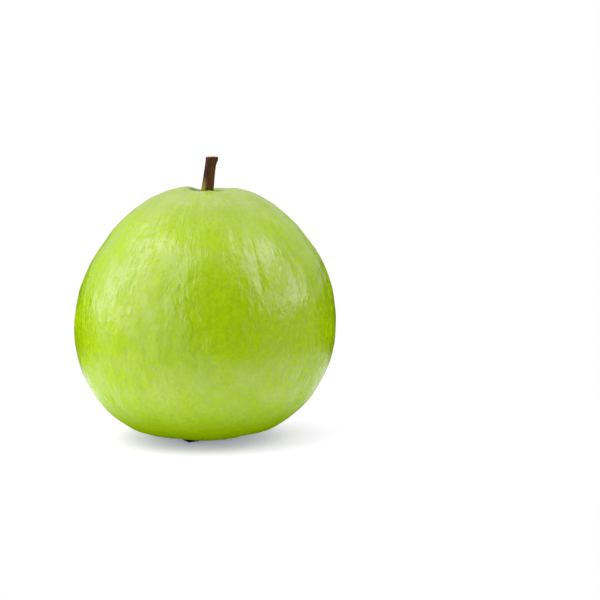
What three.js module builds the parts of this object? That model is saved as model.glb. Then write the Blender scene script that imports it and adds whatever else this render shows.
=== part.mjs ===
import * as THREE from 'three';

// A whole ripe guava, standing on its dried calyx, with a short piece of its stem.
// Millimetres, +Z up. The origin is on the surface that it stands on, under the
// middle of the fruit, and +X is the side that the fruit leans to.

// Fruit: half of its outline, as radius and height.
const GIRTH_RADIUS = 47.7;
const GIRTH_HEIGHT = 41.6;
const SHOULDER_RADIUS = 9;
const SHOULDER_HEIGHT = 90.7;
const BASE_RADIUS = 12;
const BASE_HEIGHT = 1.3;
const SHOULDER_WIDTH = 11.8;

// How far each curve runs straight on before it bends: out from the base, and down
// and up from the girth. The last two give both sides of the girth the same curvature.
const BASE_RUN = 19.7;
const BASE_DROP = 0.9;
const GIRTH_RUN_DOWN = 23.2;
const GIRTH_RUN_UP = 30.3;

// Stem socket in the top, and the recess that the calyx grows from.
const SOCKET_RADIUS = 2.7;
const SOCKET_FLOOR = 84;
const SOCKET_RIM = 88.2;
const RECESS_RADIUS = 5.8;
const RECESS_CEILING = 6.4;

// Relief of the fruit: how far each form stands out from the turned outline. It fades
// out towards the stem and towards the calyx.
const MIDDLE_HEIGHT = 45;
const SMOOTH_ROUND_STEM = 3.5;
const FULL_RELIEF_RADIUS = 22;
const SADDLE = 0.4;
const LOW_SHOULDER = 0.4;
const SWAY = 0.35;
const RIB = 0.3;
const SWELL = 0.55;
const SWELL_COUNT = 21;
const SWELL_TIGHTNESS = 11;
const GOLDEN_ANGLE = Math.PI * (3 - Math.sqrt(5));

// The whole fruit leans a little: sideways run for each millimetre above the height
// that stays in place.
const LEAN = 0.02;
const LEAN_PIVOT = 60;

// Stem: radii, heights, and its own lean, which starts at its foot in the socket. Both
// leans keep level things level, so the cut across its end is level too.
const STEM_RADIUS = 2.3;
const STEM_WAIST = 1.95;
const STEM_FOOT = 84.3;
const STEM_TAPER_START = 88;
const STEM_TOP = 102.4;
const STEM_LEAN = 0.09;

// Calyx: five dried sepals round a small cup. They lie flat and carry the fruit.
const SEPAL_THICKNESS = 0.9;
const NOTCH_RADIUS = 8.8;
const FLAT_RADIUS = 8;
const SEPALS = [
  { direction: -106, reach: 15 },
  { direction: -38, reach: 12.2 },
  { direction: 34, reach: 13.4 },
  { direction: 107, reach: 12.6 },
  { direction: 180, reach: 13.8 },
];
const SEPAL_HALF_ANGLE = 36;

const OUTLINE_STEPS = 12;
const FRUIT_SIDES = 64;
const STEM_SIDES = 28;
const CALYX_SIDES = 60;

const fruitSkin = new THREE.MeshStandardMaterial({ color: '#b1cf48', roughness: 0.32, metalness: 0 });
const stemBark = new THREE.MeshStandardMaterial({ color: '#5e4030', roughness: 0.8, metalness: 0 });
const dryCalyx = new THREE.MeshStandardMaterial({ color: '#2e241c', roughness: 0.85, metalness: 0 });

// A closed solid turned round the Z axis from an outline drawn upwards from the axis.
function turn(outline, sides) {
  const geometry = new THREE.LatheGeometry(outline.getPoints(OUTLINE_STEPS), sides);
  return geometry.rotateX(Math.PI / 2);
}

// Moves every point of a geometry by a rule.
function reshape(geometry, rule) {
  const position = geometry.attributes.position;
  const point = new THREE.Vector3();
  for (let i = 0; i < position.count; i++) {
    point.fromBufferAttribute(position, i);
    rule(point);
    position.setXYZ(i, point.x, point.y, point.z);
  }
  geometry.computeVertexNormals();
  return geometry;
}

function leanOver(point) {
  point.x += LEAN * (point.z - LEAN_PIVOT);
}

function leanWithStem(point, share) {
  point.x += STEM_LEAN * Math.max(0, point.z - STEM_FOOT) * share;
}

function fruitOutline() {
  const path = new THREE.Path();
  path.moveTo(0, RECESS_CEILING);
  path.lineTo(3.8, RECESS_CEILING);
  path.lineTo(5.0, 5.9);
  path.lineTo(5.6, 4.4);
  path.lineTo(RECESS_RADIUS, 2.4);
  path.lineTo(6.5, 1.6);
  path.lineTo(8, BASE_HEIGHT);
  path.lineTo(BASE_RADIUS, BASE_HEIGHT);
  path.bezierCurveTo(
    BASE_RADIUS + BASE_RUN, BASE_HEIGHT - BASE_DROP,
    GIRTH_RADIUS, GIRTH_HEIGHT - GIRTH_RUN_DOWN, GIRTH_RADIUS, GIRTH_HEIGHT);
  path.bezierCurveTo(
    GIRTH_RADIUS, GIRTH_HEIGHT + GIRTH_RUN_UP,
    SHOULDER_RADIUS + SHOULDER_WIDTH, SHOULDER_HEIGHT, SHOULDER_RADIUS, SHOULDER_HEIGHT);
  path.bezierCurveTo(6.5, SHOULDER_HEIGHT, 4, 89.6, SOCKET_RADIUS, SOCKET_RIM);
  path.lineTo(SOCKET_RADIUS, SOCKET_FLOOR);
  path.lineTo(0, SOCKET_FLOOR);
  return path;
}

// Broad swells and dents, spread evenly over the skin by the golden angle.
function swells(direction) {
  const centre = new THREE.Vector3();
  let height = 0;
  for (let i = 0; i < SWELL_COUNT; i++) {
    const rise = 1 - (2 * i + 1) / SWELL_COUNT;
    const flat = Math.sqrt(1 - rise * rise);
    const around = i * GOLDEN_ANGLE;
    centre.set(flat * Math.cos(around), flat * Math.sin(around), rise);
    const nearness = Math.exp(SWELL_TIGHTNESS * (direction.dot(centre) - 1));
    height += SWELL * Math.sin(2.4 * i + 1) * nearness;
  }
  return height;
}

// How far the skin stands out, away from the fruit's middle, in one direction from it.
function relief(direction) {
  const around = Math.atan2(direction.y, direction.x);
  const crown = THREE.MathUtils.smoothstep(direction.z, 0.5, 0.95);
  const saddle = SADDLE * Math.cos(2 * around) * crown;
  const lowShoulder = -LOW_SHOULDER * Math.cos(around) * crown;
  const sway = SWAY * Math.cos(3 * around) * (1 - direction.z ** 2);
  const ribs = RIB * Math.cos(5 * around + 0.4) * direction.z ** 2;
  return swells(direction) + saddle + lowShoulder + sway + ribs;
}

function shapeSkin(point) {
  const radius = Math.hypot(point.x, point.y);
  const upper = point.z > MIDDLE_HEIGHT;
  const clear = upper
    ? THREE.MathUtils.smoothstep(radius, SMOOTH_ROUND_STEM, SHOULDER_RADIUS)
    : THREE.MathUtils.smoothstep(radius, BASE_RADIUS, FULL_RELIEF_RADIUS);
  const direction = new THREE.Vector3(point.x, point.y, point.z - MIDDLE_HEIGHT).normalize();
  point.addScaledVector(direction, relief(direction) * clear);
  if (upper) {
    const awayFromStem = THREE.MathUtils.smoothstep(radius, SOCKET_RADIUS, SHOULDER_RADIUS);
    leanWithStem(point, 1 - awayFromStem);
  }
  leanOver(point);
}

function makeFruit() {
  return reshape(turn(fruitOutline(), FRUIT_SIDES), shapeSkin);
}

function stemOutline() {
  const path = new THREE.Path();
  path.moveTo(0, STEM_FOOT);
  path.lineTo(STEM_RADIUS, STEM_FOOT);
  path.lineTo(STEM_RADIUS, STEM_TAPER_START);
  path.bezierCurveTo(STEM_RADIUS - 0.1, 91, STEM_WAIST, 96, STEM_WAIST, 99);
  path.lineTo(STEM_WAIST + 0.15, STEM_TOP - 0.6);
  path.lineTo(STEM_WAIST - 0.1, STEM_TOP);
  path.lineTo(0, STEM_TOP);
  return path;
}

// Low ribs in the bark and a bud scar near the end.
function shapeStem(point) {
  const around = Math.atan2(point.y, point.x);
  const bare = THREE.MathUtils.smoothstep(point.z, SOCKET_RIM, 92);
  const ribs = 0.04 * Math.cos(3 * around + 1) + 0.03 * Math.cos(7 * around);
  const budScar = 0.22 * Math.exp(-((point.z - 101) ** 2) - 3 * around ** 2);
  const spread = 1 + (ribs + budScar) * bare;
  point.x *= spread;
  point.y *= spread;
  leanWithStem(point, 1);
  leanOver(point);
}

function makeStem() {
  return reshape(turn(stemOutline(), STEM_SIDES), shapeStem);
}

// Section of the calyx: underside from the style out to a sepal's tip, then back
// over the top and into the recess. Its sepal is one reference length long.
const REFERENCE_REACH = 14;

function calyxOutline() {
  const path = new THREE.Path();
  path.moveTo(0, 3.1);
  path.lineTo(0.5, 3.1);
  path.lineTo(0.8, 4.4);
  path.lineTo(2.8, 4.6);
  path.lineTo(3.9, 3.9);
  path.lineTo(4.4, 2.2);
  path.lineTo(4.7, 0.5);
  path.lineTo(5.2, 0);
  path.lineTo(FLAT_RADIUS, 0);
  path.lineTo(11, 0);
  path.lineTo(REFERENCE_REACH - 0.3, 0.1);
  path.lineTo(REFERENCE_REACH, 0.4);
  path.lineTo(REFERENCE_REACH - 0.4, SEPAL_THICKNESS - 0.1);
  path.lineTo(11, SEPAL_THICKNESS);
  path.lineTo(FLAT_RADIUS, SEPAL_THICKNESS);
  path.lineTo(6.1, 1.2);
  path.lineTo(5.5, 2.3);
  path.lineTo(5.2, 4.3);
  path.lineTo(4.7, 5.5);
  path.lineTo(3.7, 6.1);
  path.lineTo(0, 6.1);
  return path;
}

// The calyx's outer radius in one direction: a tip at each sepal, a notch between.
function sepalReach(around) {
  let reach = NOTCH_RADIUS;
  for (const sepal of SEPALS) {
    const away = THREE.MathUtils.euclideanModulo(around - sepal.direction + 180, 360) - 180;
    const across = Math.min(Math.abs(away) / SEPAL_HALF_ANGLE, 1);
    reach += (sepal.reach - NOTCH_RADIUS) * (1 - across ** 1.4);
  }
  return reach;
}

function shapeCalyx(point) {
  const radius = Math.hypot(point.x, point.y);
  if (radius > FLAT_RADIUS) {
    const reach = sepalReach(THREE.MathUtils.radToDeg(Math.atan2(point.y, point.x)));
    const along = (radius - FLAT_RADIUS) / (REFERENCE_REACH - FLAT_RADIUS);
    const stretched = FLAT_RADIUS + along * (reach - FLAT_RADIUS);
    point.x *= stretched / radius;
    point.y *= stretched / radius;
  }
  leanOver(point);
}

function makeCalyx() {
  return reshape(turn(calyxOutline(), CALYX_SIDES), shapeCalyx);
}

function piece(name, geometry, material) {
  const mesh = new THREE.Mesh(geometry, material);
  mesh.name = name;
  return mesh;
}

const guava = new THREE.Group();
guava.name = 'guava';
guava.add(piece('fruit', makeFruit(), fruitSkin));
guava.add(piece('stem', makeStem(), stemBark));
guava.add(piece('calyx', makeCalyx(), dryCalyx));

export default guava;
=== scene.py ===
# %% [markdown]
# # A whole guava
#
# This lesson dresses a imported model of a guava: one big fruit, the short stem on top of it
# and the dried calyx that it stands on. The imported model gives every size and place. Each
# piece is turned or drawn in metres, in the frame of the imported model, shaped by a few
# formulas and then given a finish made of nodes.

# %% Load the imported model
import math
import random

import bpy
import numpy as np
from mathutils import Matrix, Vector, noise


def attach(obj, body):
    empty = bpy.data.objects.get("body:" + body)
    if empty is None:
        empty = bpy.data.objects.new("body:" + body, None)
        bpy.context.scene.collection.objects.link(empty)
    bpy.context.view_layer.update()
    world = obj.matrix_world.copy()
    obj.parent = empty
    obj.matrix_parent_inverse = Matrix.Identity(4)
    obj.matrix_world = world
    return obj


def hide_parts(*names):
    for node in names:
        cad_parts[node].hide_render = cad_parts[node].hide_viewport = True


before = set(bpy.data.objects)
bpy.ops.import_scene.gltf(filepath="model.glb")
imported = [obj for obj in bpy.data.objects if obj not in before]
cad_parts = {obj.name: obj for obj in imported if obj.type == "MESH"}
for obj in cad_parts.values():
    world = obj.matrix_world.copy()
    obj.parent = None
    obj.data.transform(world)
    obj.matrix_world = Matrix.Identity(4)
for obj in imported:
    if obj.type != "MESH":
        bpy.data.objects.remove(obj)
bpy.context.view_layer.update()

# %% [markdown]
# The outline of the fruit is described in millimetres, because that is how a fruit is
# measured. One constant turns millimetres into Blender's metres. These values also shape the
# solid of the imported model, apart from the stem, which leans a little more here and has a
# slightly fuller foot.

# %% Sizes of the fruit
MM = 0.001
GIRTH_RADIUS = 47.7
GIRTH_HEIGHT = 41.6
SHOULDER_RADIUS = 9
SHOULDER_HEIGHT = 90.7
SHOULDER_WIDTH = 11.8
BASE_RADIUS = 12
BASE_HEIGHT = 1.3
BASE_RUN = 19.7
BASE_DROP = 0.9
GIRTH_RUN_DOWN = 23.2
GIRTH_RUN_UP = 30.3
MIDDLE_HEIGHT = 45
LEAN = 0.02
LEAN_PIVOT = 60
STEM_FOOT = 84.3
STEM_LEAN = 0.115
print("fruit is", 2 * GIRTH_RADIUS, "mm across")

# %% Helpers for working by hand


def nothing_selected():
    """Leaves edit mode and lets go of every object."""
    if bpy.context.object and bpy.context.object.mode != "OBJECT":
        bpy.ops.object.mode_set(mode="OBJECT")
    bpy.ops.object.select_all(action="DESELECT")


def pick(piece):
    """Selects one object alone and makes it the active one."""
    nothing_selected()
    piece.select_set(True)
    bpy.context.view_layer.objects.active = piece


def tell(piece):
    """Prints the size of a finished piece."""
    triangles = sum(len(face.vertices) - 2 for face in piece.data.polygons)
    size = [round(1000 * side, 1) for side in piece.dimensions]
    print(f"{piece.name}: {triangles} triangles, {size} mm")


# %% [markdown]
# Fruit, stem and the cup of the calyx are all round things, so each starts as half of its
# outline, drawn as a Bézier curve beside the Z axis. The curve becomes a line of edges, and
# the Spin tool sweeps that line once round the axis. The first and last points lie on the
# axis, so merging the doubles closes both poles, and the shell has no seam.

# %% Turn a piece from half of its outline


def draw_outline(name, knots, steps, long_stretches, cuts):
    """A Bézier curve in the XZ plane. A knot is (point, handle before, handle after), in mm."""
    nothing_selected()
    bpy.ops.curve.primitive_bezier_curve_add(location=(0, 0, 0))
    curve = bpy.context.object
    curve.name = name
    line = curve.data.splines[0]
    line.bezier_points.add(len(knots) - len(line.bezier_points))
    line.resolution_u = steps
    for index, (point, (middle, before, after)) in enumerate(zip(line.bezier_points, knots)):
        point.handle_left_type = point.handle_right_type = "FREE"
        point.co = Vector((middle[0], 0, middle[1])) * MM
        point.handle_left = Vector((before[0], 0, before[1])) * MM
        point.handle_right = Vector((after[0], 0, after[1])) * MM
        chosen = index in long_stretches
        point.select_control_point = chosen
        point.select_left_handle = point.select_right_handle = chosen
    if cuts:
        bpy.ops.object.mode_set(mode="EDIT")
        bpy.ops.curve.subdivide(number_cuts=cuts)
        bpy.ops.object.mode_set(mode="OBJECT")
    bpy.ops.object.convert(target="MESH")
    return bpy.context.object


DOUBLES = 0.002


def turn(name, knots, sides, steps, long_stretches=(), cuts=0):
    """Spins an outline once round the Z axis into a closed shell that faces outwards."""
    shell = draw_outline(name, knots, steps, long_stretches, cuts)
    bpy.ops.object.mode_set(mode="EDIT")
    bpy.ops.mesh.select_all(action="SELECT")
    bpy.ops.mesh.spin(steps=sides, angle=2 * math.pi, center=(0, 0, 0), axis=(0, 0, 1))
    bpy.ops.mesh.select_all(action="SELECT")
    bpy.ops.mesh.remove_doubles(threshold=DOUBLES * MM)
    bpy.ops.mesh.normals_make_consistent(inside=False)
    bpy.ops.object.mode_set(mode="OBJECT")
    bpy.ops.object.shade_smooth()
    return shell


# %% [markdown]
# Growth is added by moving the points of a shell with a formula. All points are read into one
# array, in millimetres, worked on together and written back. The whole fruit leans a little
# to +X, so every piece gets the same small shear last.

# %% Read and write the points of a shell


def read_points(piece):
    points = np.empty(len(piece.data.vertices) * 3)
    piece.data.vertices.foreach_get("co", points)
    return points.reshape(-1, 3) / MM


def write_points(piece, points):
    assert np.isfinite(points).all(), piece.name
    piece.data.vertices.foreach_set("co", (points * MM).ravel())
    piece.data.update()


def lean_over(points):
    points[:, 0] += LEAN * (points[:, 2] - LEAN_PIVOT)


def lean_with_stem(points, share):
    points[:, 0] += STEM_LEAN * np.maximum(0, points[:, 2] - STEM_FOOT) * share


def smoothstep(values, low, high):
    share = np.clip((values - low) / (high - low), 0, 1)
    return share * share * (3 - 2 * share)


# %% [markdown]
# ## The fruit
#
# The outline runs from the middle of the recess that the calyx grows in, round the flat base,
# up over the girth and the shoulders, and down into the dimple, where the skin grips the
# stem. The two long stretches get extra points, so that the rings of the shell lie about
# 0.7 mm apart all the way up.

# %% Spin the skin
BASE_OUTSIDE = (BASE_RADIUS + BASE_RUN, BASE_HEIGHT - BASE_DROP)
GIRTH_BELOW = (GIRTH_RADIUS, GIRTH_HEIGHT - GIRTH_RUN_DOWN)
GIRTH_ABOVE = (GIRTH_RADIUS, GIRTH_HEIGHT + GIRTH_RUN_UP)
SHOULDER_OUTSIDE = (SHOULDER_RADIUS + SHOULDER_WIDTH, SHOULDER_HEIGHT)
FRUIT_KNOTS = [
    ((0, 6.4), (0, 6.4), (3.6, 6.4)),
    ((5.7, 3.8), (5.7, 5.9), (5.8, 2.2)),
    ((8, BASE_HEIGHT), (6.4, BASE_HEIGHT), (9.3, BASE_HEIGHT)),
    ((BASE_RADIUS, BASE_HEIGHT), (10.7, BASE_HEIGHT), BASE_OUTSIDE),
    ((GIRTH_RADIUS, GIRTH_HEIGHT), GIRTH_BELOW, GIRTH_ABOVE),
    ((SHOULDER_RADIUS, SHOULDER_HEIGHT), SHOULDER_OUTSIDE, (6.5, SHOULDER_HEIGHT)),
    ((2.2, 88.0), (3.9, 89.6), (1.9, 87.6)),
    ((0, 86.4), (1.4, 86.4), (0, 86.4)),
]
skin = turn("guava_skin", FRUIT_KNOTS, sides=352, steps=12, long_stretches=(3, 4, 5), cuts=8)
tell(skin)

# %% [markdown]
# The large forms come first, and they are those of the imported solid: a saddle over the crown,
# one shoulder a little lower than the other, a three-sided sway at the girth, five faint ribs
# towards the ends, and broad swells spread over the skin by the golden angle.

# %% Large forms
SMOOTH_ROUND_STEM = 3.5
FULL_RELIEF_RADIUS = 22
CROWN = (0.5, 0.95)
SADDLE = 0.4
LOW_SHOULDER = 0.4
SWAY = 0.35
RIB = 0.3
SWELL = 0.55
SWELL_COUNT = 21
SWELL_TIGHTNESS = 11
GOLDEN_ANGLE = math.pi * (3 - math.sqrt(5))


def swells(direction):
    height = np.zeros(len(direction))
    for i in range(SWELL_COUNT):
        rise = 1 - (2 * i + 1) / SWELL_COUNT
        flat = math.sqrt(1 - rise * rise)
        around = i * GOLDEN_ANGLE
        centre = np.array([flat * math.cos(around), flat * math.sin(around), rise])
        strength = SWELL * math.sin(2.4 * i + 1)
        height += strength * np.exp(SWELL_TIGHTNESS * (direction @ centre - 1))
    return height


def large_forms(direction):
    around = np.arctan2(direction[:, 1], direction[:, 0])
    rise = direction[:, 2]
    crown = smoothstep(rise, *CROWN)
    saddle = SADDLE * np.cos(2 * around) * crown
    low_shoulder = -LOW_SHOULDER * np.cos(around) * crown
    sway = SWAY * np.cos(3 * around) * (1 - rise ** 2)
    ribs = RIB * np.cos(5 * around + 0.4) * rise ** 2
    return swells(direction) + saddle + low_shoulder + sway + ribs


points = read_points(skin)
radius = np.hypot(points[:, 0], points[:, 1])
upper = points[:, 2] > MIDDLE_HEIGHT
clear_of_stem = smoothstep(radius, SMOOTH_ROUND_STEM, SHOULDER_RADIUS)
clear_of_base = smoothstep(radius, BASE_RADIUS, FULL_RELIEF_RADIUS)
clear = np.where(upper, clear_of_stem, clear_of_base)
direction = points - [0, 0, MIDDLE_HEIGHT]
direction /= np.linalg.norm(direction, axis=1)[:, None]
height = large_forms(direction) * clear
print("large forms, mm:", round(height.min(), 2), "to", round(height.max(), 2))

# %% [markdown]
# Finer forms follow. Soft bumps a few millimetres wide break up the edges of every
# reflection, and low flutes run from stem to calyx, because the skin grew in that direction.
# Both are noise, but the flutes read it at a place made of the direction round the fruit
# and, a few times slower, the height. One longer furrow runs down from the shoulder, and one
# side is fuller below and slimmer above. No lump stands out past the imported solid: what would
# do so is flattened towards it. The dimple's rim is higher on one side of the stem, and its
# inside sinks where it meets the stem and is pleated all round.

# %% Fine forms
# A pair of sizes says where a form starts to show and where it shows in full.
LUMPS = ((20, 0.16), (8, 0.17), (4.2, 0.09))
FLUTES = ((5, 13, 0.2), (2.6, 6, 0.07))
HIGHEST_LUMP = 0.3
FURROW_DIRECTION = math.radians(-60)
FURROW_WIDTH = 1.5
FURROW_DEPTH = 0.35
FURROW_FOOT = (54, 62)
FURROW_HEAD = (82, 74)
BELLY = 0.3
GRIP_RADIUS = 2.7
DIMPLE_TILT = 0.3
TILT_INSIDE = (2.8, 5.5)
TILT_OUTSIDE = (13, 7)
DIMPLE_GROOVE = 0.9
GROOVE_INSIDE = (GRIP_RADIUS, 4)
GROOVE_OUTSIDE = (8, 4.5)
PLEATS = ((176, 0.45), (112, 0.3), (52, 0.35), (-12, 0.35), (-64, 0.4), (-128, 0.35))
PLEAT_WIDTH = 0.8
PLEAT_INSIDE = (2.8, 4)
PLEAT_OUTSIDE = (13, 6)


def lumps_and_flutes(direction):
    around = np.arctan2(direction[:, 1], direction[:, 0])
    polar = np.arccos(direction[:, 2])
    depth = np.zeros(len(direction))
    for i, (place, turned, fallen) in enumerate(zip(direction * GIRTH_RADIUS, around, polar)):
        for width, deep in LUMPS:
            depth[i] += deep * noise.noise(Vector(place) / width)
        for width, length, deep in FLUTES:
            wide = GIRTH_RADIUS / width
            down = fallen * GIRTH_RADIUS / length
            depth[i] += deep * noise.noise((math.cos(turned) * wide, math.sin(turned) * wide, down))
    print("fine forms, mm:", round(depth.min(), 2), "to", round(depth.max(), 2))
    proud = HIGHEST_LUMP * np.tanh(depth / HIGHEST_LUMP)
    return np.where(depth > 0, proud, depth) - HIGHEST_LUMP


def furrow(points):
    around = np.arctan2(points[:, 1], points[:, 0])
    beside = (around - FURROW_DIRECTION) * np.hypot(points[:, 0], points[:, 1]) / FURROW_WIDTH
    stretch = smoothstep(points[:, 2], *FURROW_FOOT) * smoothstep(points[:, 2], *FURROW_HEAD)
    return -FURROW_DEPTH * np.exp(-beside ** 2) * stretch


def dimple(points):
    around = np.arctan2(points[:, 1], points[:, 0])
    out = np.hypot(points[:, 0], points[:, 1])
    tilted = smoothstep(out, *TILT_INSIDE) * smoothstep(out, *TILT_OUTSIDE)
    rise = -DIMPLE_TILT * np.cos(around) * tilted
    rise -= DIMPLE_GROOVE * smoothstep(out, *GROOVE_INSIDE) * smoothstep(out, *GROOVE_OUTSIDE)
    for turned, deep in PLEATS:
        away = around - math.radians(turned)
        beside = np.sin(away) * out / PLEAT_WIDTH
        stretch = smoothstep(out, *PLEAT_INSIDE) * smoothstep(out, *PLEAT_OUTSIDE)
        rise -= deep * np.exp(-beside ** 2) * stretch * (np.cos(away) > 0)
    return rise


def belly(direction):
    level = np.hypot(direction[:, 0], direction[:, 1])
    side = (1 - direction[:, 0] / np.maximum(level, 1e-6)) / 2
    return -BELLY * direction[:, 2] * side ** 2


height += furrow(points) + belly(direction) * clear
height += lumps_and_flutes(direction) * clear
points += direction * height[:, None]
points[:, 2] += dimple(points) * upper
lean_with_stem(points, upper * (1 - smoothstep(radius, GRIP_RADIUS, SHOULDER_RADIUS)))
lean_over(points)
write_points(skin, points)
tell(skin)

# %% [markdown]
# ## The stem
#
# The stem is a twig with a thin bark round a paler wood, cut across with a knife. It is turned
# in the same way: the outline rises along the bark, rolls over a thin rim, drops into the
# groove between bark and wood, and ends on a slightly domed cut.

# %% Turn the stem
STEM_RADIUS = 2.4
STEM_WAIST = 1.95
STEM_TOP = 102.4
RIM_TOP = STEM_TOP - 0.3
RIM_RADIUS = STEM_WAIST + 0.1
WOOD_RADIUS = 1.62
STEM_KNOTS = [
    ((0, 86), (0, 86), (1.4, 86)),
    ((STEM_RADIUS, 87), (STEM_RADIUS, 86.2), (STEM_RADIUS, 90)),
    ((STEM_WAIST + 0.08, 96), (STEM_WAIST + 0.15, 93), (STEM_WAIST, 98)),
    ((RIM_RADIUS, RIM_TOP - 0.4), (STEM_WAIST, RIM_TOP - 1.5), (RIM_RADIUS, RIM_TOP - 0.1)),
    ((STEM_WAIST - 0.15, RIM_TOP), (STEM_WAIST, RIM_TOP), (1.72, RIM_TOP)),
    ((WOOD_RADIUS, RIM_TOP - 0.15), (1.68, RIM_TOP - 0.15), (1.56, RIM_TOP - 0.15)),
    ((1.3, STEM_TOP - 0.12), (1.5, STEM_TOP - 0.25), (1, STEM_TOP)),
    ((0, STEM_TOP - 0.06), (0.4, STEM_TOP), (0, STEM_TOP - 0.06)),
]
stem = turn("stem_bark", STEM_KNOTS, sides=128, steps=10, long_stretches=(1, 2, 3), cuts=4)
tell(stem)

# %% [markdown]
# Dry bark shrinks into ridges that run lengthwise. They are noise read at the direction round
# the stem and, much slower, the height, so each ridge wanders and fades as it climbs. A bud
# scar sticks out near the end. The stem leans a little more than the fruit does.

# %% Shape the bark
BARK_RIDGES = ((1.1, 9, 0.17), (0.45, 4, 0.08))
BARK_FOOT = (87.6, 90)
THREE_RIBS = 0.04
SEVEN_RIBS = 0.03
SCAR_HEIGHT = 101
SCAR_DEPTH = 0.2
SCAR_NARROWNESS = 3


def bark_ridges(points):
    height = np.zeros(len(points))
    around = np.arctan2(points[:, 1], points[:, 0])
    for i, (turned, z) in enumerate(zip(around, points[:, 2])):
        for width, length, deep in BARK_RIDGES:
            wide = STEM_WAIST / width
            place = (math.cos(turned) * wide, math.sin(turned) * wide, z / length)
            height[i] += deep * noise.noise(place)
    return height


points = read_points(stem)
radius = np.hypot(points[:, 0], points[:, 1])
around = np.arctan2(points[:, 1], points[:, 0])
bark = smoothstep(points[:, 2], *BARK_FOOT) * smoothstep(radius, WOOD_RADIUS, STEM_WAIST - 0.2)
ribs = THREE_RIBS * np.cos(3 * around + 1) + SEVEN_RIBS * np.cos(7 * around)
from_scar = (points[:, 2] - SCAR_HEIGHT) ** 2 + SCAR_NARROWNESS * around ** 2
bud_scar = SCAR_DEPTH * np.exp(-from_scar)
spread = 1 + (ribs + bud_scar + bark_ridges(points) / STEM_WAIST) * bark
points[:, :2] *= spread[:, None]
lean_with_stem(points, 1)
lean_over(points)
write_points(stem, points)
tell(stem)

# %% [markdown]
# ## The calyx
#
# The flower's calyx stays under the fruit and dries to something like thin, dark leather. A
# small cup lines the recess, five sepals spread from its lip, and the cup holds the withered
# stamens and the style. The cup is one more turned piece. Its lip is pulled into low waves.

# %% Turn the calyx cup
CUP_KNOTS = [
    ((0, 4.7), (0, 4.7), (1.4, 4.5)),
    ((3.2, 4.5), (2.4, 4.9), (3.8, 4.2)),
    ((4.4, 2.6), (4.2, 3.6), (4.6, 1.6)),
    ((5.2, 0.35), (4.8, 0.45), (5.6, 0.25)),
    ((7.0, 0.55), (6.4, 0.3), (7.3, 0.7)),
    ((6.7, 1.0), (7.2, 1.0), (6.2, 1.0)),
    ((5.4, 2.6), (5.6, 1.6), (5.2, 4.2)),
    ((3.7, 6.0), (4.8, 6.0), (2, 6.0)),
    ((0, 6.0), (1, 6.0), (0, 6.0)),
]
CUP_LIP = (4, 1)
FIVE_WAVES = 0.03
FINE_WAVES = 0.012
cup = turn("calyx_cup", CUP_KNOTS, sides=120, steps=8)
points = read_points(cup)
around = np.arctan2(points[:, 1], points[:, 0])
lip = smoothstep(points[:, 2], *CUP_LIP)
waves = FIVE_WAVES * np.cos(5 * around) + FINE_WAVES * np.cos(23 * around)
points[:, :2] *= (1 + waves * lip)[:, None]
lean_over(points)
write_points(cup, points)
tell(cup)

# %% [markdown]
# A sepal is a thin sheet, so it starts as a flat grid. The blank is made once, and each sepal
# will be a copy of it with its own mesh.

# %% Make a blank for the sepals


def make_blank():
    nothing_selected()
    bpy.ops.mesh.primitive_grid_add(x_subdivisions=36, y_subdivisions=28, size=2)
    blank = bpy.context.object
    blank.name = "sepal_blank"
    return blank


def copy_of(piece, name):
    copied = piece.copy()
    copied.data = piece.data.copy()
    copied.name = copied.data.name = name
    bpy.context.collection.objects.link(copied)
    return copied


blank = make_blank()
print("blank:", len(blank.data.polygons), "faces")

# %% [markdown]
# The sheet is laid out round the cup. Along the grid it runs from the lip to the tip, and
# across it the width narrows and the edge is torn. Dry sheets buckle, so noise lifts it, and
# its tip and edges curl up towards the fruit. The sheet is kept between the surface that the
# fruit stands on and the skin.

# %% Lay a sepal out
SEPAL_ROOT = 5.6
SEPAL_HALF_ANGLE = 37
SHEET_LOW = 0.17
SHEET_HIGH = 1.02
SHEET_LEVEL = 0.42
SIDE_ROUNDNESS = (1.7, 0.75)
TIP_WIDTH = 0.07
TIP_ROUNDNESS = 0.1
TORN_SIDE = 0.16
TORN_TIP = 0.05
BUCKLE = 0.5
BUCKLE_WIDTH = 2.6
FINE_BUCKLE = 0.22
TIP_CURL = 0.5
EDGE_CURL = 0.3


def lay_sepal(sheet, direction, reach, seed):
    flat = read_points(sheet) * MM
    out = (flat[:, 0] + 1) / 2
    across = flat[:, 1]
    late, blunt = SIDE_ROUNDNESS
    points = np.empty_like(flat)
    for i, (share, side) in enumerate(zip(out, across)):
        torn = 1 + TORN_SIDE * noise.noise((share * 5, math.copysign(3, side), seed))
        ragged = TORN_TIP * noise.noise((side * 3, 0, seed + 5))
        notched = reach * (1 - TIP_ROUNDNESS * side * side + ragged)
        radius = SEPAL_ROOT + share * (notched - SEPAL_ROOT)
        narrowed = (1 - share ** late) ** blunt + TIP_WIDTH
        angle = math.radians(direction + side * SEPAL_HALF_ANGLE * torn * narrowed)
        x, y = radius * math.cos(angle), radius * math.sin(angle)
        wide = BUCKLE * noise.noise((x / BUCKLE_WIDTH, y / BUCKLE_WIDTH, seed))
        fine = FINE_BUCKLE * noise.noise((x, y, seed))
        curl = TIP_CURL * share ** 4 + EDGE_CURL * side * side * share
        points[i] = (x, y, SHEET_LEVEL + (wide + fine) + curl)
    middle = (SHEET_HIGH + SHEET_LOW) / 2
    room = (SHEET_HIGH - SHEET_LOW) / 2
    points[:, 2] = middle + room * np.tanh((points[:, 2] - middle) / room)
    lean_over(points)
    write_points(sheet, points)


# %% [markdown]
# The sheet has no thickness yet. Solidify gives it a wall, and one level of subdivision rounds
# its torn edges. Five sepals of different reach, in degrees round the cup and millimetres from
# its middle, make the star.

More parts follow.
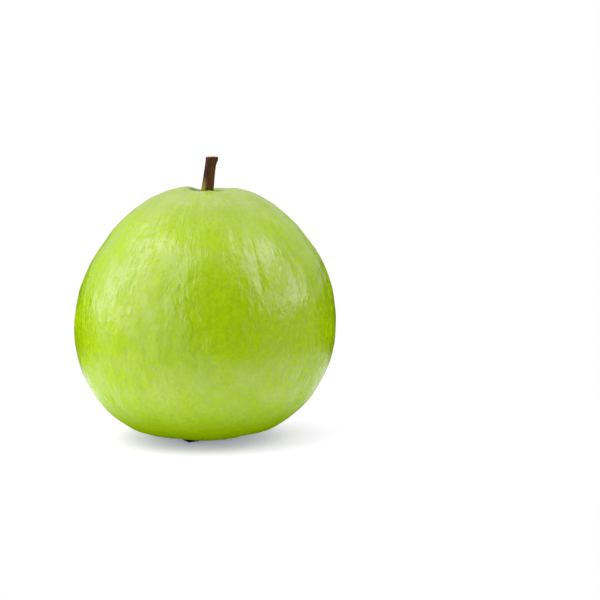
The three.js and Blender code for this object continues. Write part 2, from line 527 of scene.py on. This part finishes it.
# %% Make five sepals
SEPALS = ((-106, 15), (-38, 12.2), (34, 13.4), (107, 12.6), (180, 13.8))
SHEET_THICKNESS = 0.3


def thicken(piece, thickness, levels):
    """Gives a sheet its thickness and rounds its edges, then applies both modifiers."""
    pick(piece)
    wall = piece.modifiers.new("wall", "SOLIDIFY")
    wall.thickness = thickness
    wall.offset = 0
    bpy.ops.object.modifier_apply(modifier="wall")
    soft = piece.modifiers.new("soft", "SUBSURF")
    soft.levels = soft.render_levels = levels
    bpy.ops.object.modifier_apply(modifier="soft")
    bpy.ops.object.mode_set(mode="EDIT")
    bpy.ops.mesh.select_all(action="SELECT")
    bpy.ops.mesh.normals_make_consistent(inside=False)
    bpy.ops.object.mode_set(mode="OBJECT")
    bpy.ops.object.shade_smooth()


sepals = []
for number, (direction, reach) in enumerate(SEPALS, start=1):
    sepal = copy_of(blank, f"sepal_{number}")
    lay_sepal(sepal, direction, reach, 10 * number)
    thicken(sepal, SHEET_THICKNESS * MM, 1)
    tell(sepal)
    sepals.append(sepal)
bpy.data.objects.remove(blank)

# %% [markdown]
# The stamens of a guava flower stand in a dense ring. What is left are short, crooked stubs.
# One stub is extruded from a small circle, a joint at a time, each thinner than the last. Its
# copies are scattered over the ring by a seeded draw and joined into one piece.

# %% Extrude one stamen and copy it round the cup
STAMENS = 54
STAMEN_SEED = 21
STAMEN_RADIUS = 0.13
STAMEN_JOINT = 0.42
STAMEN_JOINTS = ((0.05, 0.85), (0.12, 0.85), (0.04, 0.8), (-0.1, 0.7))
RING_INNER = 2.6
RING_OUTER = 4.0
STAMEN_TILTS = (-0.5, 0.35)
STAMEN_STRETCHES = (0.7, 1.25)
CUP_CEILING = 4.75
CUP_SLOPE = 0.02


def make_stamen():
    nothing_selected()
    bpy.ops.mesh.primitive_circle_add(vertices=6, radius=STAMEN_RADIUS * MM, fill_type="NGON")
    stamen = bpy.context.object
    bpy.ops.object.mode_set(mode="EDIT")
    for sway, thinner in STAMEN_JOINTS:
        move = {"value": (sway * MM, 0, -STAMEN_JOINT * MM)}
        bpy.ops.mesh.extrude_region_move(TRANSFORM_OT_translate=move)
        bpy.ops.transform.resize(value=(thinner, thinner, 1))
    bpy.ops.mesh.select_all(action="SELECT")
    bpy.ops.mesh.normals_make_consistent(inside=False)
    bpy.ops.object.mode_set(mode="OBJECT")
    bpy.ops.object.shade_smooth()
    return stamen


draw = random.Random(STAMEN_SEED)
first = make_stamen()
stubs = []
for number in range(STAMENS):
    stub = copy_of(first, f"stamen_{number}")
    points = read_points(stub)
    out = draw.uniform(RING_INNER, RING_OUTER)
    turned = number * GOLDEN_ANGLE
    tilt = draw.uniform(*STAMEN_TILTS)
    points[:, 2] *= draw.uniform(*STAMEN_STRETCHES)
    shift = Matrix.Rotation(turned, 3, "Z") @ Matrix.Rotation(tilt, 3, "Y")
    points = points @ np.array(shift).T
    root = CUP_CEILING - CUP_SLOPE * out
    points += [out * math.cos(turned), out * math.sin(turned), root]
    lean_over(points)
    write_points(stub, points)
    stubs.append(stub)
bpy.data.objects.remove(first)
nothing_selected()
for stub in stubs:
    stub.select_set(True)
stamens = stubs[0]
bpy.context.view_layer.objects.active = stamens
bpy.ops.object.join()
stamens.name = stamens.data.name = "stamen_stubs"
tell(stamens)

# %% [markdown]
# The style is what is left of the flower's centre: a single short peg with a blunt head.

# %% Turn the style
STYLE_KNOTS = [
    ((0, 2.9), (0, 2.9), (0.35, 2.85)),
    ((0.5, 3.2), (0.5, 2.95), (0.5, 3.4)),
    ((0.3, 3.8), (0.32, 3.6), (0.3, 4.2)),
    ((0.6, 4.8), (0.4, 4.6), (0.6, 4.85)),
    ((0, 4.9), (0.3, 4.9), (0, 4.9)),
]
STYLE_ROOT = 4.9
STYLE_BEND = 0.12
style = turn("style_stub", STYLE_KNOTS, sides=32, steps=6)
points = read_points(style)
points[:, 0] += STYLE_BEND * (STYLE_ROOT - points[:, 2]) ** 2
lean_over(points)
write_points(style, points)
tell(style)

# %% Place the pieces on the body
calyx_pieces = [cup, *sepals, stamens, style]
for piece, node, slot in (
    (skin, "fruit", "fruit_skin"),
    (stem, "stem", "stem_bark"),
    *((dried, "calyx", "dry_calyx") for dried in calyx_pieces),
):
    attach(piece, "root")
    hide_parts(node)

# %% [markdown]
# ## Materials
#
# A small class wraps the output of a node, so that shader maths reads like Python.

# %% Shader helpers


class Wire:
    """The output of a node, which can be used in sums. Each sum adds a Math node."""

    def __init__(self, sheet, socket):
        self.sheet = sheet
        self.socket = socket

    def __add__(self, other):
        return self.sheet.maths("ADD", self, other)

    def __sub__(self, other):
        return self.sheet.maths("SUBTRACT", self, other)

    def __rsub__(self, other):
        return self.sheet.maths("SUBTRACT", other, self)

    def __mul__(self, other):
        return self.sheet.maths("MULTIPLY", self, other)

    def __truediv__(self, other):
        return self.sheet.maths("DIVIDE", self, other)

    def __pow__(self, other):
        return self.sheet.maths("POWER", self, other)

    __radd__ = __add__
    __rmul__ = __mul__


class Sheet:
    """The node sheet of a material or of the world."""

    def __init__(self, owner):
        owner.use_nodes = True
        self.tree = owner.node_tree
        self.tree.nodes.clear()

    def node(self, kind, settings=None, inputs=None, output=0):
        made = self.tree.nodes.new(kind)
        for name, value in (settings or {}).items():
            setattr(made, name, value)
        for name, value in (inputs or {}).items():
            if isinstance(value, Wire):
                self.tree.links.new(value.socket, made.inputs[name])
            else:
                made.inputs[name].default_value = value
        return Wire(self, made.outputs[output])

    def maths(self, operation, first, second):
        return self.node("ShaderNodeMath", {"operation": operation}, {0: first, 1: second})

    def place(self):
        return self.node("ShaderNodeTexCoord", output="Object")

    def split(self, vector):
        first = self.node("ShaderNodeSeparateXYZ", inputs={0: vector})
        parts = first.socket.node.outputs
        return [Wire(self, parts[axis]) for axis in "XYZ"]

    def join(self, x, y, z):
        return self.node("ShaderNodeCombineXYZ", inputs={"X": x, "Y": y, "Z": z})

    def drawn_out(self, x, y, reach, fineness, along):
        """A place for noise in streaks: fine round an axis, and as long as the last value says."""
        return self.join(x / reach * fineness, y / reach * fineness, along)

    def noise(self, vector, scale, detail=2.0, roughness=0.5, distortion=0.0):
        inputs = {"Vector": vector, "Scale": scale, "Detail": detail}
        inputs.update({"Roughness": roughness, "Distortion": distortion})
        return self.node("ShaderNodeTexNoise", inputs=inputs)

    def ramp(self, value, low, high, to_low=0.0, to_high=1.0):
        inputs = {"Value": value, 1: low, 2: high, 3: to_low, 4: to_high}
        return self.node("ShaderNodeMapRange", {"interpolation_type": "SMOOTHSTEP"}, inputs)

    def mix(self, share, first, second):
        inputs = {0: share, 6: first, 7: second}
        return self.node("ShaderNodeMix", {"data_type": "RGBA"}, inputs, output=2)

    def bump(self, height, distance, normal=None):
        inputs = {"Height": height, "Distance": distance}
        if normal:
            inputs["Normal"] = normal
        return self.node("ShaderNodeBump", inputs=inputs)

    def surface(self, **inputs):
        named = {name.replace("_", " "): value for name, value in inputs.items()}
        return self.node("ShaderNodeBsdfPrincipled", inputs=named)

    def finish(self, shader, kind="ShaderNodeOutputMaterial"):
        output = self.tree.nodes.new(kind)
        self.tree.links.new(shader.socket, output.inputs["Surface"])


def paint(red, green, blue):
    """A colour from the 0 to 255 values of a paint picker, as the linear one shaders use."""
    linear = []
    for part in (red, green, blue):
        share = part / 255
        linear.append(share / 12.92 if share <= 0.04045 else ((share + 0.055) / 1.055) ** 2.4)
    return (*linear, 1.0)


def new_sheet(piece, name):
    material = bpy.data.materials.new(name)
    piece.data.materials.clear()
    piece.data.materials.append(material)
    return Sheet(material)


# %% [markdown]
# A guava's skin is bright green and covered by a thin natural wax, which has rubbed off in
# patches and where the fruit stands. There is one shader for bare skin and one for waxed skin,
# which shines, and noise mixes the two. A shallow relief, drawn out along the growth, breaks
# the reflections up into short strokes. It fades towards the stem and the calyx.

# %% Skin material
AXIS_WIDTH = 0.1 * MM
sheet = new_sheet(skin, "guava_skin")
x, y, z = sheet.split(sheet.place())
x = x - (z - LEAN_PIVOT * MM) * LEAN
reach = sheet.maths("MAXIMUM", (x * x + y * y) ** 0.5, AXIS_WIDTH)
polar = sheet.maths("ARCTAN2", reach, z - MIDDLE_HEIGHT * MM)


def along_skin(width, length):
    """A place for noise whose cells are so many mm wide and long, from stem to calyx."""
    return sheet.drawn_out(x, y, reach, GIRTH_RADIUS / width, polar * (GIRTH_RADIUS / length))


MOTTLE_SCALE = 560.0
PATCH_SCALE = 120.0
THINNEST_WAX = 0.38
WORN_PATCH = (0.4, 0.56)
WORN_FOOT = (0.006, 0.024)
broad = sheet.noise(along_skin(16, 24), 1.0, detail=3.0)
relief = sheet.noise(along_skin(2.4, 4.6), 1.0, detail=3.0, roughness=0.45, distortion=0.3)
mottle = sheet.noise(sheet.place(), MOTTLE_SCALE, detail=3.0, roughness=0.6, distortion=0.3)
patches = sheet.noise(sheet.place(), PATCH_SCALE, detail=4.0, roughness=0.6, distortion=0.3)
worn = patches * 0.55 + mottle * 0.45
wax = sheet.ramp(worn, *WORN_PATCH, THINNEST_WAX, 1.0) * sheet.ramp(z, *WORN_FOOT)

# %% [markdown]
# The green varies a little from place to place and is mottled finely all over. It is paler on
# the crown. A deep green is painted inside the dimple as the shade of its walls and the stem,
# and the skin darkens round the calyx, a painted shade where the underside faces the ground.
# Pale pores, each under half a millimetre across, are sprinkled over it. A share says how
# strongly a colour covers the ones before it. An edge, counted from the axis, and a level,
# counted from the ground, give the two distances that a colour fades between, in metres, as
# the shader counts.

# %% Colour of the skin
SKIN_GREEN = paint(155, 197, 0)
LIGHT_GREEN = paint(163, 201, 4)
MOTTLE_GREEN = paint(147, 186, 2)
CROWN_GREEN = paint(152, 171, 94)
# Dark green painted into the dimple as its shade.
DIMPLE_SHADE_GREEN = paint(76, 102, 8)
# Olive painted over the underside as its shade.
BASE_SHADE_GREEN = paint(110, 138, 0)
PORE_PALE = paint(186, 196, 110)
PORE_SCALE = 330.0
PORE_SIZE = (0.07, 0.16)
MOTTLE_SHARE = 0.6
PORE_SHARE = 0.1
CROWN_SHARE = 0.5
DIMPLE_SHADE_SHARE = 0.8
BASE_SHADE_SHARE = 0.75
CROWN_LEVEL = (0.076, 0.089)
DIMPLE_SHADE_EDGE = (0.0045, 0.0085)
DIMPLE_SHADE_LEVEL = (0.08, 0.085)
BASE_SHADE_LEVEL = (0.002, 0.022)
colour = sheet.mix(sheet.ramp(broad, 0.35, 0.65), SKIN_GREEN, LIGHT_GREEN)
colour = sheet.mix(sheet.ramp(mottle, 0.42, 0.58, 0.0, MOTTLE_SHARE), colour, MOTTLE_GREEN)
pores = sheet.node("ShaderNodeTexVoronoi", inputs={"Vector": sheet.place(), "Scale": PORE_SCALE})
colour = sheet.mix(sheet.ramp(pores, *PORE_SIZE, PORE_SHARE, 0.0), colour, PORE_PALE)
crown = sheet.ramp(z, *CROWN_LEVEL)
colour = sheet.mix(crown * CROWN_SHARE, colour, CROWN_GREEN)
# Painted shade: the inside of the dimple, round the stem, is darkened and loses its wax.
inner = sheet.ramp(reach, *DIMPLE_SHADE_EDGE, 1.0, 0.0) * sheet.ramp(z, *DIMPLE_SHADE_LEVEL)
colour = sheet.mix(inner * DIMPLE_SHADE_SHARE, colour, DIMPLE_SHADE_GREEN)
wax = wax * (1 - inner * DIMPLE_SHADE_SHARE)
# Painted shade: the skin darkens towards the ground, where the underside faces its own shadow.
colour = sheet.mix(sheet.ramp(z, *BASE_SHADE_LEVEL, BASE_SHADE_SHARE, 0.0), colour, BASE_SHADE_GREEN)

# %% [markdown]
# The relief is only a few tenths of a millimetre deep, too fine for the mesh, so it goes into a
# Bump node, and a much finer grain goes on top. Two shaders share the colour and the relief.
# The bare one is dull. The waxed one mirrors the room, a little less in the green than in the
# rest, which keeps the highlights from looking yellow on so strong a green.

# %% Relief and shine of the skin
RELIEF_DEPTH = 0.0004
RELIEF_REACH = (0.008, 0.042)
LEAST_RELIEF = 0.25
MOTTLE_RELIEF = 0.15
GRAIN_SCALE = 1400.0
GRAIN_DEPTH = 0.000008
depth = sheet.ramp(reach, *RELIEF_REACH, LEAST_RELIEF, 1.0)
fine = sheet.bump((relief + mottle * MOTTLE_RELIEF) * depth, RELIEF_DEPTH)
grain = sheet.noise(sheet.place(), GRAIN_SCALE, detail=2.0)
fine = sheet.bump(grain, GRAIN_DEPTH, fine)
bare = sheet.surface(Base_Color=colour, Roughness=0.5, Specular_IOR_Level=0.0, Normal=fine)
waxed = sheet.surface(
    Base_Color=colour,
    Roughness=0.2,
    IOR=1.68,
    Specular_Tint=(1, 0.76, 1, 1),
    Normal=fine,
)
sheet.finish(sheet.node("ShaderNodeMixShader", inputs={0: wax, 1: bare, 2: waxed}))

# %% [markdown]
# The bark is dry, ridged and streaked along its length. Both patterns are noise placed by the
# direction round the stem's own axis, so its two leans are taken off first. A hundredth of a
# millimetre is added to the distance from the axis, because nothing can be divided by zero.

# %% Ridges and streaks of the bark
HAIRLINE = 0.01 * MM
RIDGES_ROUND = 2.4
RIDGES_ALONG = 160.0
STREAKS_ROUND = 2.0
STREAKS_ALONG = 90.0
sheet = new_sheet(stem, "stem_bark")
x, y, z = sheet.split(sheet.place())
x = x - (z - LEAN_PIVOT * MM) * LEAN - (z - STEM_FOOT * MM) * STEM_LEAN
reach = (x * x + y * y) ** 0.5 + HAIRLINE
ridge_place = sheet.drawn_out(x, y, reach, RIDGES_ROUND, z * RIDGES_ALONG)
ridges = sheet.noise(ridge_place, 1.6, detail=5.0, roughness=0.65)
streak_place = sheet.drawn_out(x, y, reach, STREAKS_ROUND, z * STREAKS_ALONG)
streaks = sheet.noise(streak_place, 3.0, detail=2.0)

# %% [markdown]
# The bark is dark and mauve-brown, with paler and redder streaks along the ridges. It is still
# green where it leaves the fruit, most of all on one side, and olive along another.

# %% Colour of the bark
DARK_BARK = paint(36, 15, 10)
PALE_BARK = paint(92, 48, 30)
RED_BARK = paint(70, 18, 20)
OLIVE_BARK = paint(98, 74, 12)
YOUNG_BARK = paint(146, 148, 38)
FOOT_BARK = paint(60, 52, 12)
RED_SHARE = 0.7
OLIVE_SHARE = 0.75
YOUNG_SHARE = 0.9
FOOT_SHARE = 0.6
YOUNG_LEVEL = (0.0892, 0.0955)
YOUNG_SIDE = (-0.8, -0.6)
OLIVE_SIDE = (0.7, -0.7)
FOOT_LEVEL = (0.0888, 0.0908)


def facing(side):
    """Near 1 where the bark faces that way across the ground, and near -1 behind."""
    return (x * side[0] + y * side[1]) / reach


colour = sheet.mix(sheet.ramp(ridges, 0.38, 0.62), DARK_BARK, PALE_BARK)
colour = sheet.mix(sheet.ramp(streaks, 0.55, 0.7, 0.0, RED_SHARE), colour, RED_BARK)
olive = sheet.ramp(facing(OLIVE_SIDE), 0.35, 0.9) * sheet.ramp(streaks, 0.35, 0.6)
colour = sheet.mix(olive * OLIVE_SHARE, colour, OLIVE_BARK)
young = sheet.ramp(z, *YOUNG_LEVEL, 1.0, 0.0) * sheet.ramp(facing(YOUNG_SIDE), 0.6, 0.92)
colour = sheet.mix(young * YOUNG_SHARE, colour, YOUNG_BARK)
colour = sheet.mix(sheet.ramp(z, *FOOT_LEVEL, FOOT_SHARE, 0.0), colour, FOOT_BARK)

# %% [markdown]
# The knife left light wood inside the bark, with faint rings round a darker pith. The bark
# itself is dull, and dullest on its ridges, with a fine grain over them.

# %% Cut end and finish of the stem
WOOD = paint(206, 160, 120)
PALE_WOOD = paint(236, 206, 172)
PITH = paint(150, 104, 66)
WOOD_EDGE = (0.00155, 0.00172)
PITH_EDGE = (0.0002, 0.0005)
CUT_LEVEL = (0.1008, 0.1014)
RING_SCALE = 4200.0
RIDGE_DEPTH = 0.00022
BARK_GRAIN_SCALE = 2600.0
BARK_GRAIN_DEPTH = 0.00003
cut = sheet.ramp(reach, *WOOD_EDGE, 1.0, 0.0) * sheet.ramp(z, *CUT_LEVEL)
rings = sheet.noise(sheet.join(reach, 0.0, 0.0), RING_SCALE, detail=2.0)
wood = sheet.mix(sheet.ramp(rings, 0.35, 0.65), WOOD, PALE_WOOD)
wood = sheet.mix(sheet.ramp(reach, *PITH_EDGE, 1.0, 0.0), wood, PITH)
colour = sheet.mix(cut, colour, wood)
fine = sheet.bump(ridges, RIDGE_DEPTH)
grain = sheet.noise(sheet.place(), BARK_GRAIN_SCALE, detail=3.0)
fine = sheet.bump(grain, BARK_GRAIN_DEPTH, fine)
rough = sheet.ramp(ridges, 0.3, 0.7, 0.6, 0.85)
sheet.finish(sheet.surface(Base_Color=colour, Roughness=rough, IOR=1.3, Normal=fine))

# %% [markdown]
# The calyx has dried almost black, brown where it is thin and grey where it has crumbled. Its
# fine veins spread from the middle, so they are noise stretched along the way out.

# %% Calyx material
DRY_BLACK = paint(16, 12, 9)
DRY_BROWN = paint(44, 33, 24)
DRY_GREY = paint(78, 62, 44)
GREY_SHARE = 0.5
VEINS_ROUND = 9.0
VEINS_ALONG = 160.0
VEIN_DEPTH = 0.0003
STAIN_SCALE = 420.0
CRUST_SCALE = 2200.0
CRUST_DEPTH = 0.00006
for dried in calyx_pieces:
    sheet = new_sheet(dried, f"dry_{dried.name}")
    x, y, z = sheet.split(sheet.place())
    x = x + LEAN_PIVOT * MM * LEAN
    reach = (x * x + y * y) ** 0.5 + HAIRLINE
    vein_place = sheet.drawn_out(x, y, reach, VEINS_ROUND, reach * VEINS_ALONG)
    veins = sheet.noise(vein_place, 2.0, detail=4.0)
    stains = sheet.noise(sheet.place(), STAIN_SCALE, detail=4.0, roughness=0.6)
    colour = sheet.mix(sheet.ramp(stains, 0.35, 0.65), DRY_BLACK, DRY_BROWN)
    colour = sheet.mix(sheet.ramp(veins, 0.55, 0.75, 0.0, GREY_SHARE), colour, DRY_GREY)
    fine = sheet.bump(veins, VEIN_DEPTH)
    crust = sheet.noise(sheet.place(), CRUST_SCALE, detail=3.0)
    fine = sheet.bump(crust, CRUST_DEPTH, fine)
    rough = sheet.ramp(stains, 0.3, 0.7, 0.7, 0.95)
    sheet.finish(sheet.surface(Base_Color=colour, Roughness=rough, Normal=fine))

# %% [markdown]
# The floor is a sheet of plain, pale paper. It thins out to nothing towards its edge, so that
# the skin mirrors a floor that ends softly. The white surroundings take its place there. A
# little light comes through the paper, as on a light table, and softens the shadow.

# %% Floor
FLOOR_RADIUS = 0.4
FLOOR_FADE = 0.06
FLOOR_END = 0.17
PAPER = (0.9, 0.89, 0.91, 1)
GLOW = (0.73, 0.65, 1.0, 1)
GLOW_STRENGTH = 0.34
bpy.ops.mesh.primitive_circle_add(vertices=128, radius=FLOOR_RADIUS, fill_type="NGON")
floor = bpy.context.object
floor.name = "floor"
sheet = new_sheet(floor, "floor_paper")
x, y, z = sheet.split(sheet.place())
cover = sheet.ramp((x * x + y * y) ** 0.5, FLOOR_FADE, FLOOR_END, 1.0, 0.0)
lit = sheet.surface(
    Base_Color=PAPER,
    Roughness=0.9,
    Emission_Color=GLOW,
    Emission_Strength=GLOW_STRENGTH,
    Alpha=cover,
)
sheet.finish(lit)

# %% [markdown]
# The light is the room itself: a dark, even world with soft-edged bright windows in it, which
# the wax mirrors. The two tall ones on the left and the right make the large highlights, those
# behind make the rim shine, and the low ones stand in for the bright table. A faint, wide one
# in front and a ceiling keep the rest from being black. The camera alone sees plain white. A
# window is given by its strength, its direction round the object, in degrees from the right,
# half its width, and the angles of its lower and upper edges above the level, in degrees too.

# %% Studio light
ROOM_TINT = (1.0, 0.95, 1.0, 1)
PLAIN_WHITE = (1, 1, 1, 1)
CEILING = (0.6, 0.85)
CEILING_STRENGTH = 0.77
NOT_ZERO = 0.0001
world = bpy.data.worlds.new("studio")
bpy.context.scene.world = world
sheet = Sheet(world)
x, y, z = sheet.split(sheet.node("ShaderNodeTexCoord", output="Generated"))
level = (x * x + y * y) ** 0.5 + NOT_ZERO


def window(strength, turned, half_width, low, high, softness=8):
    """A bright window with soft edges, as wide and high as its angles round the object say."""
    side = math.radians(turned)
    towards = (x * math.cos(side) + y * math.sin(side)) / level
    inner = math.cos(math.radians(half_width - softness))
    outer = math.cos(math.radians(half_width + softness))
    across = sheet.ramp(towards, outer, inner)
    bottom, top = (math.sin(math.radians(edge)) for edge in (low, high))
    soft = math.sin(math.radians(softness))
    up = sheet.ramp(z, bottom - soft / 2, bottom + soft / 2)
    down = sheet.ramp(z, top - soft / 2, top + soft / 2, 1.0, 0.0)
    return across * up * down * strength


ceiling = sheet.ramp(z, *CEILING, 0.0, CEILING_STRENGTH)
left = window(2.0, turned=210, half_width=43, low=5, high=70)
right = window(2.3, turned=-9, half_width=25, low=8, high=62, softness=7)
back = window(0.76, turned=90, half_width=105, low=6, high=60)
behind_left = window(1.0, turned=167, half_width=20, low=0, high=65)
low_left = window(0.98, turned=212, half_width=52, low=-40, high=8)
low_right = window(0.4, turned=-10, half_width=36, low=-40, high=4)
front = window(0.08, turned=270, half_width=65, low=-25, high=60, softness=20)
room = left + right + ceiling + back + low_left + behind_left + low_right + front
camera_ray = sheet.node("ShaderNodeLightPath", output="Is Camera Ray")
room = room + (1.0 - room) * camera_ray
tint = sheet.mix(camera_ray, ROOM_TINT, PLAIN_WHITE)
background = sheet.node("ShaderNodeBackground", inputs={"Color": tint, "Strength": room})
sheet.finish(background, "ShaderNodeOutputWorld")

# %% [markdown]
# The camera stands a little above the fruit's middle and looks past it to the right, so that
# the fruit stands left of the centre of the picture. A long lens keeps the picture flat.

# %% Camera
ELEVATION = 7
DISTANCE = 600
AIM = Vector((34.76, 0, 50.17))
LENS = 99
SENSOR = 36
slope = math.radians(ELEVATION)
away = Vector((0, -math.cos(slope), math.sin(slope)))
stand = (AIM + away * DISTANCE) * MM
bpy.ops.object.camera_add(location=stand, rotation=(math.pi / 2 - slope, 0, 0))
camera = bpy.context.object
camera.data.lens = LENS
camera.data.sensor_width = SENSOR
bpy.context.scene.camera = camera
bpy.context.scene.view_settings.view_transform = "Standard"

# %% Finish
nothing_selected()
